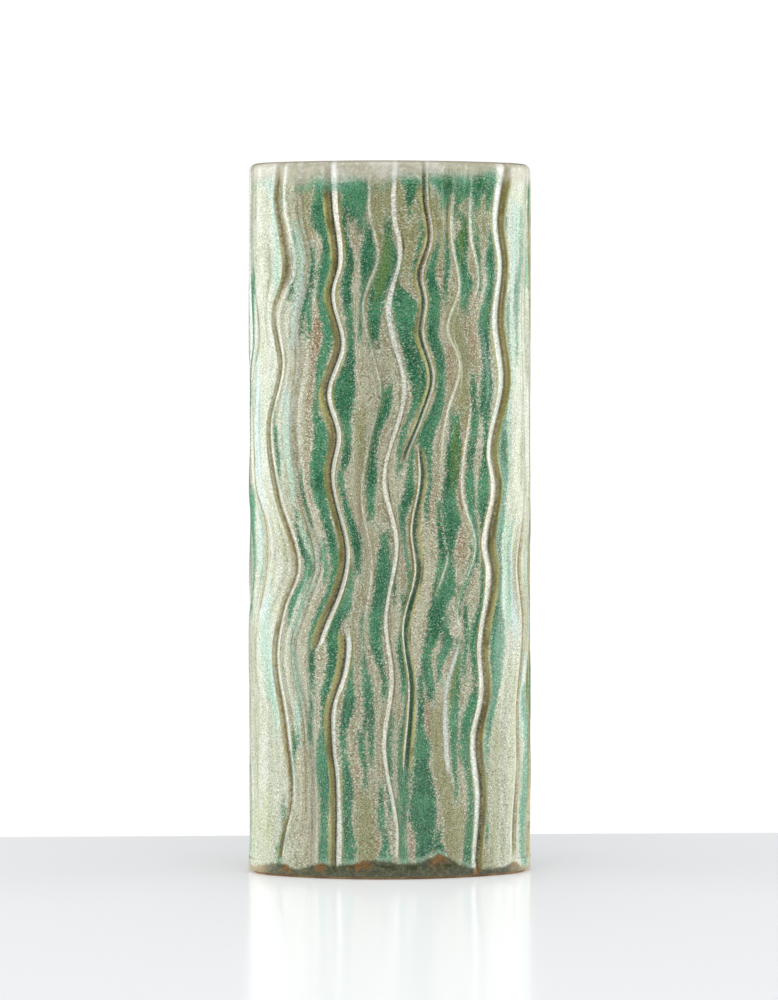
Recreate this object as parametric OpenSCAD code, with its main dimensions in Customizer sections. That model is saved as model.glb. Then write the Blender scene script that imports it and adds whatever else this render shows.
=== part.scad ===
// Tall oval stoneware vase, carved outside and glazed inside and out.
// The plan is a four-centred oval: two tight end curves joined by two flat side curves.
// Origin at the middle of the resting face, +Z up, the broad front faces -Y.

/* [Vase] */
// Height from the resting face to the top of the lip
vase_height = 280; // [200:1:360]
// Width of the oval, end to end
vase_width = 112; // [90:1:140]
// Depth of the oval, front to back
vase_depth = 62; // [50:1:80]
// Outer radius of the curve at each end of the oval
end_radius = 20; // [14:0.5:24]

/* [Clay] */
// Thickness of the fired clay wall
clay_wall = 4.8; // [4:0.1:7]
// Thickness of the slab that closes the bottom
base_thickness = 6; // [5:0.5:10]
// Radius of the coil pressed into the inside corner
coil_radius = 4; // [3:0.5:5]

/* [Glaze] */
// Thickness of the glaze coat outside
outer_glaze_t = 0.8; // [0.5:0.1:1.2]
// Thickness of the glaze coat inside
liner_glaze_t = 0.4; // [0.3:0.1:0.8]
// Height of the pale band of glaze round the lip
rim_band = 7; // [4:0.5:12]
// Height of the thick dark band where the glaze ran down and stopped
foot_band = 5; // [3:0.5:9]
// Height of the bare clay left below the glaze
bare_foot = 1; // [0.5:0.1:2.5]

/* [Hidden] */

half_w = vase_width / 2;
half_d = vase_depth / 2;
// A side arc touches both end arcs, which sets its radius.
side_radius = (half_w ^ 2 + half_d ^ 2 - 2 * half_w * end_radius) / (2 * (half_d - end_radius));
end_centre = half_w - end_radius;
side_centre = side_radius - half_d;
side_half_angle = atan(end_centre / side_centre);
end_half_angle = 90 - side_half_angle;

// Insets are measured inwards from the outermost surface.
clay_outer = outer_glaze_t;
clay_inner = clay_outer + clay_wall;
cavity = clay_inner + liner_glaze_t;
lip_middle = (clay_outer + clay_inner) / 2;
lip_centre_z = vase_height - cavity / 2;
rim_bottom = vase_height - rim_band;
band_top = bare_foot + foot_band;
coil_x = clay_inner + coil_radius;
coil_z = base_thickness + coil_radius;

// Flats in each end arc, each side arc, the half-round lip and the coil's hollow.
end_steps = 18;
side_steps = 16;
lip_steps = 8;
coil_steps = 5;

// Stations along one arc of the oval, each [centre x, centre y, radius, direction].
function arc_stations(x, y, r, middle, half_angle, steps) = [
    for (i = [0:steps - 1]) [x, y, r, middle + half_angle * (2 * i / steps - 1)]
];
stations = concat(
    arc_stations(end_centre, 0, end_radius, 0, end_half_angle, end_steps),
    arc_stations(0, -side_centre, side_radius, 90, side_half_angle, side_steps),
    arc_stations(-end_centre, 0, end_radius, 180, end_half_angle, end_steps),
    arc_stations(0, side_centre, side_radius, 270, side_half_angle, side_steps)
);

// The plan point at a station, drawn in by an inset.
function plan_point(s, inset) = [
    s[0] + (s[2] - inset) * cos(s[3]),
    s[1] + (s[2] - inset) * sin(s[3])
];

// Points along an arc of a section, from one angle to another.
function arc_points(x, z, r, from, to, steps) = [
    for (i = [0:steps]) let(angle = from + (to - from) * i / steps)
        [x + r * cos(angle), z + r * sin(angle)]
];

// The oval's plan, drawn in by an inset.
module oval_plan(inset) {
    polygon([for (s = stations) plan_point(s, inset)]);
}

// A straight-sided ring between two insets and two heights.
module oval_ring(outer, inner, low, high) {
    translate([0, 0, low]) linear_extrude(high - low) difference() {
        oval_plan(outer);
        oval_plan(inner);
    }
}

// Carries a section of [inset, height] points round the oval. A closed section makes a ring,
// and an open one makes a cup whose first and last points are closed by flat ovals.
module sweep_section(section, closed = true) {
    count = len(stations);
    size = len(section);
    links = closed ? size : size - 1;
    polyhedron(
        points = [for (s = stations) for (p = section) concat(plan_point(s, p[0]), p[1])],
        faces = concat(
            [for (i = [0:count - 1]) for (j = [0:links - 1])
                let(next = ((i + 1) % count) * size, after = (j + 1) % size)
                    [i * size + j, i * size + after, next + after, next + j]],
            closed ? [] : [
                [for (i = [0:count - 1]) i * size],
                [for (i = [count - 1:-1:0]) i * size + size - 1]
            ]
        ),
        convexity = 6
    );
}

// The fired clay wall: straight, with a half-round lip.
module body_wall() {
    color("tan") sweep_section(concat(
        [[clay_inner, 0]],
        arc_points(lip_middle, lip_centre_z, clay_wall / 2, 0, 180, lip_steps),
        [[clay_outer, 0]]
    ));
}

// The clay slab that closes the bottom, luted inside the wall.
module base_slab() {
    color("burlywood") linear_extrude(base_thickness) oval_plan(clay_inner);
}

// The coil pressed into the corner between the wall and the slab.
module corner_coil() {
    color("peru") sweep_section(concat(
        [[clay_inner, base_thickness]],
        arc_points(coil_x, coil_z, coil_radius, 270, 180, coil_steps)
    ));
}

// The streaked glaze on the outside, between the lip band and the dark foot band.
module outer_glaze() {
    color("mediumseagreen") oval_ring(0, clay_outer, band_top, rim_bottom);
}

// The pale glaze that wraps the lip, over the clay and down both sides of it.
module rim_glaze() {
    color("linen") sweep_section(concat(
        [[cavity, rim_bottom]],
        arc_points(cavity / 2, lip_centre_z, cavity / 2, 0, 180, lip_steps),
        [[0, rim_bottom], [clay_outer, rim_bottom]],
        arc_points(lip_middle, lip_centre_z, clay_wall / 2, 180, 0, lip_steps),
        [[clay_inner, rim_bottom]]
    ));
}

// The thick dark roll of glaze that stops just above the bare foot.
module foot_glaze_band() {
    color("darkolivegreen") oval_ring(0, clay_outer, bare_foot, band_top);
}

// The glaze inside: down the wall, over the coil and across the floor.
module liner_glaze() {
    color("honeydew") sweep_section(concat(
        arc_points(coil_x, coil_z, coil_radius, 270, 180, coil_steps),
        [[clay_inner, rim_bottom], [cavity, rim_bottom]],
        arc_points(coil_x, coil_z, coil_radius - liner_glaze_t, 180, 270, coil_steps)
    ), closed = false);
}

body_wall();
base_slab();
corner_coil();
outer_glaze();
rim_glaze();
foot_glaze_band();
liner_glaze();
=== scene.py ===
import math

import bpy
import numpy as np
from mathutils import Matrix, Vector


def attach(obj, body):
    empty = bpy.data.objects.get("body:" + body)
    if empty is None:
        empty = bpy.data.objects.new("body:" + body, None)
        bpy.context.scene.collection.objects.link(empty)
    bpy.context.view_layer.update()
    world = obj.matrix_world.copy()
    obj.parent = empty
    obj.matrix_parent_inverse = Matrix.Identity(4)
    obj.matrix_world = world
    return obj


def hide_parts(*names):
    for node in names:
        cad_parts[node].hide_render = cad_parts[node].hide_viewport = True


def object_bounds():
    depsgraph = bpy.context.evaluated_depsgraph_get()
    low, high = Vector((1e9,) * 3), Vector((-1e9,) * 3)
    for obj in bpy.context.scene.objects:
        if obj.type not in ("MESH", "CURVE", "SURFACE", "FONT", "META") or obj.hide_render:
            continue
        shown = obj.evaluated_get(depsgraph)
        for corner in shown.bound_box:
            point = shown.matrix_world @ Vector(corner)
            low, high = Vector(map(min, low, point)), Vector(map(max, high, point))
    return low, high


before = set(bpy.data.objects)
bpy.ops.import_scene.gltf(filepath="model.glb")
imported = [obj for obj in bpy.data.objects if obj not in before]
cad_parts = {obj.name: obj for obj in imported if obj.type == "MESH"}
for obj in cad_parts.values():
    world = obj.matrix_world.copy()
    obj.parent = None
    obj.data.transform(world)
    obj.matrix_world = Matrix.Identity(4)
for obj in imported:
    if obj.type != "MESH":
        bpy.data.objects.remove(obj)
cad_low, cad_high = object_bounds()

# ------------------------ sizes, in millimetres
MM = 0.001
HEIGHT = (cad_high.z - cad_low.z) / MM
HALF_WIDTH = (cad_high.x - cad_low.x) / 2 / MM
HALF_DEPTH = (cad_high.y - cad_low.y) / 2 / MM
END_RADIUS = 20.0
LIP_WALL = 6.0          # clay and both coats together, at the lip
COAT = 0.8              # the outer coat
RIM_LOW = 273.0         # where the piece of pale rim glaze starts
RIM_EDGE = 273.4        # mean height at which the colour turns pale
FOOT_HIGH = 6.0         # top of the foot roll
BARE = 1.0              # bare clay under the foot roll
BASE_INSET = 0.45       # mean glaze surface, inside the tallest crests
CLEAR = 0.02            # the glaze stays this far inside the CAD box
COLUMNS = 416           # mesh points round the girth
RANDOM = np.random.default_rng(20)

# ------------------------ the oval plan
# A side arc touches both end arcs, which sets its radius.
SIDE_RADIUS = (HALF_WIDTH**2 + HALF_DEPTH**2 - 2 * HALF_WIDTH * END_RADIUS) / 2
SIDE_RADIUS /= HALF_DEPTH - END_RADIUS
END_X = HALF_WIDTH - END_RADIUS
SIDE_Y = SIDE_RADIUS - HALF_DEPTH
SIDE_ANGLE = math.atan2(END_X, SIDE_Y)
SIDE_RUN = SIDE_RADIUS * SIDE_ANGLE
END_RUN = END_RADIUS * (math.pi / 2 - SIDE_ANGLE)
GIRTH = 4 * (SIDE_RUN + END_RUN)


def wrap_round(s):
    """A place round the girth, counted from mid front: between half a girth either way."""
    return (s + GIRTH / 2) % GIRTH - GIRTH / 2


def oval(s):
    """Point and outward normal at s mm round the girth; s = 0 is mid front, positive towards +X."""
    s = wrap_round(np.asarray(s, float))
    side = np.where(s < 0, -1.0, 1.0)
    t = np.abs(s)
    front = t <= SIDE_RUN
    end = ~front & (t <= SIDE_RUN + 2 * END_RUN)
    angle = np.where(front, t / SIDE_RADIUS, 0)
    angle = np.where(end, SIDE_ANGLE + (t - SIDE_RUN) / END_RADIUS, angle)
    back = ~front & ~end
    angle = np.where(back, math.pi - SIDE_ANGLE + (t - SIDE_RUN - 2 * END_RUN) / SIDE_RADIUS, angle)
    radius = np.where(end, END_RADIUS, SIDE_RADIUS)
    x = np.where(end, END_X, 0) + radius * np.sin(angle)
    y = np.where(front, SIDE_Y, np.where(back, -SIDE_Y, 0)) - radius * np.cos(angle)
    return x * side, y, np.sin(angle) * side, -np.cos(angle)


def smooth_curve(points, at):
    """A smooth line through (position, value) points; it stays level beyond its ends."""
    pts = np.array(sorted(points), float)
    x, y = pts[:, 0], pts[:, 1:]
    at = np.clip(np.asarray(at, float), x[0], x[-1])
    slope = np.diff(y, axis=0) / np.diff(x)[:, None]
    tangent = np.zeros_like(y)
    tangent[1:-1] = (slope[1:] + slope[:-1]) / 2
    i = np.clip(np.searchsorted(x, at, side="right") - 1, 0, len(x) - 2)
    step = (x[i + 1] - x[i])[..., None]
    f = ((at - x[i])[..., None]) / step
    value = (
        (2 * f**3 - 3 * f**2 + 1) * y[i]
        + (f**3 - 2 * f**2 + f) * step * tangent[i]
        + (-2 * f**3 + 3 * f**2) * y[i + 1]
        + (f**3 - f**2) * step * tangent[i + 1]
    )
    return value[..., 0] if value.shape[-1] == 1 else value


def ease(low, high, x):
    """A smooth step from 0 at low to 1 at high; low may be the larger."""
    f = np.clip((x - low) / (high - low), 0, 1)
    return f * f * (3 - 2 * f)


# ------------------------ flow lines
# Each line runs from lip to foot as (height, place round the girth). Carving and glaze both follow them.
FRONT_LINES = {
    "left_end": [(280, -62), (250, -62), (230, -60.5), (210, -57.8), (198, -61.5), (165, -62),
      (151, -60), (140, -54.3), (125, -52.8), (110, -56), (98, -60), (82, -60), (65, -56.5),
      (40, -57.2), (0, -56)],
    "left_brown": [(280, -46), (264, -47.3), (250, -44.5), (237, -43), (221, -48.7), (200, -45.8),
      (176, -51.3), (150, -47.5), (121, -39), (105, -45), (87, -48.3), (60, -44.2), (30, -41.4),
      (15, -45), (0, -47)],
    "left_soft": [(280, -37.5), (260, -37.5), (240, -33.5), (218, -38.2), (200, -38.5), (180, -41),
      (150, -37.5), (122, -30.3), (108, -34.8), (90, -40.5), (60, -35), (20, -33.5), (0, -34)],
    "left_main": [(280, -25.5), (262, -24.8), (240, -22.4), (228, -25.2), (208, -21.2), (189, -27.1),
      (173, -23), (157, -25.4), (126, -19.3), (112, -22.2), (98, -28.3), (84, -32.7), (62, -31),
      (30, -29.5), (0, -29)],
    "left_low": [(280, -17), (245, -15), (220, -16.5), (190, -16.5), (160, -17.5), (126, -14),
      (112, -17), (101, -20), (91, -19.1), (80, -20.5), (66, -24.9), (52, -24.8), (38, -23.2),
      (0, -23.2)],
    "middle_soft": [(280, -9), (260, -9.5), (242, -6), (224, -12), (205, -8.3), (190, -5), (170, -9.5),
      (150, -12.3), (122, -8.4), (95, -12), (60, -11.2), (0, -12)],
    "middle": [(280, 0.5), (260, 0), (243, 2.6), (222, -2), (190, 4.2), (156, -3.6), (131, 1.2),
      (101, -3), (78, -0.7), (52, -3.7), (20, 1.2), (0, 0.6)],
    "right_double": [(280, 12), (265, 12.2), (250, 14.1), (235, 10.2), (225, 11.8), (213, 10.5),
      (195, 15), (180, 10.6), (161, 3.5), (140, 3.6), (118, 4.6), (98, 1), (70, 3), (50, 1.5),
      (20, 3.4), (0, 3.4)],
    "right_fork": [(280, 18), (250, 19), (233, 16), (222, 17.6), (213, 16), (195, 19.6), (182, 15.2),
      (169, 10.6), (157, 11.3), (136, 8.1), (120, 9.7), (98, 4.7), (75, 7), (42, 5), (0, 6.4)],
    "right_soft": [(280, 24.5), (250, 23), (231, 26.3), (214, 21.3), (201, 26.5), (180, 21),
      (152, 18.8), (126, 21.8), (110, 17), (70, 15.2), (40, 14), (0, 15)],
    "right_brown": [(280, 32), (251, 31.3), (232, 34.5), (218, 28.6), (190, 31.6), (150, 27.5),
      (130, 33.2), (104, 25.6), (96, 26.8), (72, 21), (50, 21), (25, 24), (0, 24)],
    "right_main": [(280, 47.8), (256, 44.5), (240, 46.6), (218, 44.3), (194, 47.3), (166, 41.2),
      (153, 43.5), (130, 39.7), (119, 41.6), (90, 37), (72, 38), (54, 34.3), (32, 36.2), (0, 34.2)],
    "right_edge": [(280, 61), (250, 59), (225, 57.5), (195, 59.5), (165, 61), (145, 59.5), (122, 54.2),
      (98, 57.5), (66, 53.5), (45, 53.8), (18, 51.3), (0, 51.3)],
}
# Flow coordinate of each line, near its mean place round the girth.
FRONT_REST = dict(
    left_end=-58, left_brown=-46, left_soft=-37, left_main=-26, left_low=-18.5, middle_soft=-9,
    middle=0, right_double=7, right_fork=13, right_soft=21, right_brown=29, right_main=42, right_edge=57
)
BACK_SPACING = 8.6      # mean gap between the creases round the back
BLEND = 34.0            # run over which the back takes up the front's outermost creases


def sway(t, z):
    """The sideways wander of the creases round the back, the same for near neighbours."""
    return (
        3.4 * np.sin(2 * np.pi * (z / 92 + t / 74) + 0.6)
        + 1.9 * np.sin(2 * np.pi * (z / 51 - t / 61) + 2.1)
        + 1.0 * np.sin(2 * np.pi * (z / 34 + t / 39) + 4.4)
    )


def back_places():
    """Evenly spread places for the creases round the back."""
    start, stop = FRONT_REST["right_edge"], FRONT_REST["left_end"] + GIRTH
    count = round((stop - start) / BACK_SPACING)
    return [start + (stop - start) * k / count for k in range(1, count)]


BACK_REST = back_places()
REST = [FRONT_REST[n] for n in FRONT_LINES] + BACK_REST


def back_line(rest, z):
    """A crease round the back; near the front it copies the front's outermost line."""
    past_right = rest - FRONT_REST["right_edge"]
    before_left = FRONT_REST["left_end"] + GIRTH - rest
    calm = ease(0, 22, min(past_right, before_left))
    right = smooth_curve(FRONT_LINES["right_edge"], z) - FRONT_REST["right_edge"]
    left = smooth_curve(FRONT_LINES["left_end"], z) - FRONT_REST["left_end"]
    from_right = ease(BLEND, 0, past_right)
    from_left = ease(BLEND, 0, before_left)
    return rest + calm * sway(rest, z) + 0.8 * from_right * right + 0.8 * from_left * left


def line_places(z):
    """Where every flow line is at the heights z, in girth order."""
    z = np.asarray(z, float)
    front = [smooth_curve(FRONT_LINES[n], z) for n in FRONT_LINES]
    return np.array(front + [back_line(t, z) for t in BACK_REST])


def flow_to_girth(t, z):
    """Girth place of flow coordinate t at height z; z is constant along each row of the arrays."""
    rest = np.array([REST[-1] - GIRTH] + REST + [REST[0] + GIRTH])
    out = np.empty_like(t)
    for row in range(t.shape[0]):
        at = line_places(z[row, 0])
        at = np.concatenate([[at[-1] - GIRTH], at, [at[0] + GIRTH]])
        out[row] = np.interp(t[row], rest, at)
    return out


# ------------------------ carving
# A cut is a cross section: (offset, height, bare lip, pooled glaze, thin white glaze with a painted
# highlight on the flank that faces a side light).
CUTS = {
    "groove": [(-8, 0, 0, 0, 0), (-4, 0.1, 0, 0, 0), (-3, 0.28, 0.3, 0, 0), (-2.3, 0.42, 1, 0, 0),
        (-1.4, 0.3, 1, 0, 0), (-1.05, -0.3, 0.9, 0.2, 0), (-0.5, -0.95, 0.4, 0.6, 0),
        (0, -1.2, 0, 1, 0), (0.4, -1.1, 0, 0.8, 0), (0.8, -0.85, 0, 0.1, 0.7), (1.5, -0.55, 0, 0, 1),
        (2.5, 0.1, 0, 0, 1), (2.9, 0.28, 0.7, 0, 0.4), (3.4, 0.4, 1, 0, 0), (3.9, 0.3, 0.15, 0, 0),
        (6, 0.08, 0, 0, 0), (9, 0, 0, 0, 0)],
    "wide": [(-8, 0, 0, 0, 0), (-4, 0.12, 0, 0, 0), (-2.8, 0.3, 0.7, 0, 0), (-2, 0.42, 1, 0, 0),
        (-1.2, 0.3, 1, 0, 0), (-0.85, -0.3, 0.7, 0.4, 0), (-0.35, -0.85, 0.2, 0.9, 0),
        (0.1, -1, 0, 0.9, 0), (0.6, -0.85, 0, 0.3, 0.3), (1.2, -0.65, 0, 0, 0.65),
        (2.4, -0.2, 0, 0, 0.8), (3.8, 0.34, 0.1, 0, 0.7), (4.3, 0.42, 0.9, 0, 0.3),
        (4.8, 0.36, 0.5, 0, 0), (5.6, 0.2, 0, 0, 0), (9, 0, 0, 0, 0)],
    "narrow": [(-6, 0, 0, 0, 0), (-2.6, 0.14, 0.1, 0, 0), (-1.5, 0.32, 1, 0, 0),
        (-0.9, 0.1, 0.6, 0.4, 0), (-0.4, -0.5, 0, 1, 0), (0.2, -0.7, 0, 0.9, 0),
        (0.8, -0.45, 0, 0.2, 0.5), (1.6, 0, 0, 0, 1), (2.2, 0.3, 0.6, 0, 0.3), (2.8, 0.3, 0.5, 0, 0),
        (4, 0.1, 0, 0, 0), (7, 0, 0, 0, 0)],
    "double": [(-5, 0, 0, 0, 0), (-2.9, 0.2, 0.1, 0, 0), (-2.3, 0.44, 1, 0, 0.2),
        (-1.4, 0.4, 1, 0, 0.2), (-1, -0.3, 0.1, 0.8, 0), (-0.5, -0.85, 0, 0.95, 0),
        (0.3, -0.85, 0, 0.75, 0), (0.8, -0.45, 0, 0.3, 0.5), (1.2, 0.2, 0.1, 0, 1),
        (1.7, 0.44, 0.6, 0, 0.6), (2.3, 0.4, 1, 0, 0), (2.9, 0.2, 0.1, 0, 0), (5, 0, 0, 0, 0)],
    "broad": [(-7, 0, 0, 0, 0), (-3, 0.14, 0, 0, 0.5), (-2.1, 0.36, 0.8, 0, 0.2),
        (-1.6, 0.1, 0.6, 0.6, 0), (-1, -0.7, 0, 1, 0), (0, -0.85, 0, 0.86, 0), (1, -0.7, 0, 0.8, 0),
        (1.8, -0.2, 0, 0.4, 0.1), (2.4, 0.1, 0, 0, 0.7), (3.2, 0.34, 0, 0, 1), (4.2, 0.3, 0, 0, 0.4),
        (8, 0, 0, 0, 0)],
    "step": [(-8, 0, 0, 0, 0), (-3, -0.24, 0, 0, 0), (-1.2, -0.5, 0, 0.1, 0.1),
        (-0.7, -0.42, 0, 0, 0.9), (0, -0.02, 0, 0, 1), (0.7, 0.36, 0.1, 0, 0.9),
        (1.1, 0.44, 0.7, 0.1, 0.1), (1.5, 0.3, 0.3, 0.7, 0), (1.9, 0.28, 0.1, 0, 0), (4, 0.16, 0, 0, 0),
        (8, 0, 0, 0, 0)],
    "soft": [(-7, 0, 0, 0, 0), (-3.5, -0.12, 0, 0, 0), (-1.2, -0.3, 0.05, 0.1, 0),
        (-0.5, -0.14, 0, 0, 0.5), (0.3, 0.2, 0, 0, 0.5), (1, 0.34, 0.7, 0, 0.2),
        (1.6, 0.26, 0.15, 0.5, 0), (2.2, 0.24, 0, 0, 0), (3.5, 0.18, 0, 0, 0), (8, 0, 0, 0, 0)],
}
CUT_REACH = 9.5         # a cut reaches this far either side of its line
# (line, cut, mirrored, highest, lowest, top taper, foot taper, depth)
CREASES = [
    ("left_main", "groove", 1, 282, 82, 1, 14, 1.0),
    ("left_low", "groove", 1, 101, 2, 9, 3, 0.85),
    ("left_brown", "broad", 1, 282, 200, 1, 40, 0.75),
    ("left_brown", "narrow", 1, 236, 3, 30, 6, 0.65),
    ("left_soft", "soft", -1, 282, 10, 1, 14, 1.7),
    ("left_end", "narrow", -1, 236, 196, 14, 10, 0.7),
    ("left_end", "narrow", -1, 190, 98, 30, 12, 0.7),
    ("left_end", "soft", -1, 74, 12, 12, 12, 1.0),
    ("middle_soft", "soft", 1, 276, 72, 10, 20, 0.9),
    ("middle", "step", 1, 282, 4, 1, 10, 1.0),
    ("right_double", "double", 1, 282, 158, 1, 10, 1.0),
    ("right_fork", "double", -1, 171, 34, 6, 16, 0.95),
    ("right_soft", "soft", -1, 270, 150, 8, 16, 1.0),
    ("right_soft", "soft", -1, 132, 106, 8, 8, 0.8),
    ("right_brown", "soft", -1, 271, 219, 8, 10, 0.9),
    ("right_brown", "soft", -1, 188, 95, 10, 5, 1.0),
    ("right_brown", "step", 1, 97, 34, 10, 14, 0.9),
    ("right_main", "wide", -1, 282, 2, 1, 2, 1.0),
    ("right_edge", "narrow", -1, 150, 4, 16, 6, 0.8),
]


def back_creases():
    """Creases of the same kinds for the ends and the back, in a set random order."""
    kinds = ["groove", "soft", "narrow", "step", "soft", "double", "groove", "soft", "step"]
    made = []
    for k, rest in enumerate(BACK_REST):
        kind = kinds[k % len(kinds)]
        mirrored = -1 if RANDOM.random() < 0.5 else 1
        if kind == "groove" and RANDOM.random() < 0.6 or k % 9 == 0:
            made.append((rest, kind, mirrored, 282, 2, 1, 3, 1.0))
            continue
        split = RANDOM.uniform(90, 200)
        gap = RANDOM.uniform(4, 26)
        other = kinds[(k * 4 + 2) % len(kinds)]
        made.append((rest, kind, mirrored, 282, split + gap / 2, 1, 14, RANDOM.uniform(0.75, 1.0)))
        made.append((rest, other, -mirrored, split - gap / 2, 4, 12, 8, RANDOM.uniform(0.75, 1.0)))
    return made


ALL_CREASES = CREASES + back_creases()


def waves(count, turns, lean, size):
    """Low waves all over: (turns round the girth, turns per mm of height, phase, height)."""
    return [
        (int(RANDOM.integers(*turns)), RANDOM.uniform(-1, 1) / lean, RANDOM.uniform(0, 6.3), size)
        for _ in range(count)
    ]


WAVES = waves(7, (17, 34), 75, 0.085) + waves(12, (60, 118), 60, 0.022)

# Lines with fainter glaze colours, and lines whose pools are green.
FAINT = {"left_brown": 0.8, "left_end": 0.75, "right_edge": 0.8}
GREEN_POOLS = ("right_double", "right_fork")


def relief(t, s, z):
    """Carved height, then lip, pool, white and green pool shares, at flow t, girth s and height z; the
    white share is thin pale glaze with a painted highlight on the lit flank.
    """
    height = np.zeros_like(t)
    lip = np.zeros_like(t)
    pool = np.zeros_like(t)
    white_glaze_and_highlight = np.zeros_like(t)
    verdant = np.zeros_like(t)
    for turns, lean, phase, size in WAVES:
        height += size * np.sin(2 * np.pi * (turns * t / GIRTH + lean * z) + phase)
    rows = z[:, 0]
    for k, (line, kind, mirrored, high, low, top, foot, depth) in enumerate(ALL_CREASES):
        centre = smooth_curve(FRONT_LINES[line], rows) if isinstance(line, str) else back_line(line, rows)
        u = wrap_round(s - centre[:, None])
        strength = ease(low, low + foot, rows) * ease(high, high - top, rows)
        fade = strength[:, None] * (np.abs(u) < CUT_REACH)
        if not fade.any():
            continue
        spread = 0.8 + 0.1 * np.sin(rows / 13 + k) + 0.2 * ease(212, 262, rows)
        offset = np.clip(u * mirrored / spread[:, None], -CUT_REACH, CUT_REACH)
        profile = smooth_curve(CUTS[kind], offset)
        height += depth * fade * profile[..., 0]
        faint = FAINT.get(line, 1.0)
        lip = np.maximum(lip, faint * fade * profile[..., 1])
        pool = np.maximum(pool, faint * fade * profile[..., 2])
        # the white share paints a highlight on the lit flank, over thin pale glaze
        white_glaze_and_highlight = np.maximum(white_glaze_and_highlight, faint * fade * profile[..., 3])
        if line in GREEN_POOLS or k % 3 == 0 and not isinstance(line, str):
            verdant = np.maximum(verdant, fade * (np.abs(u) < 3) * ease(244, 222, rows)[:, None])
    return height, np.clip(lip, 0, 1), np.clip(pool, 0, 1), np.clip(white_glaze_and_highlight, 0, 1), verdant


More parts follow.
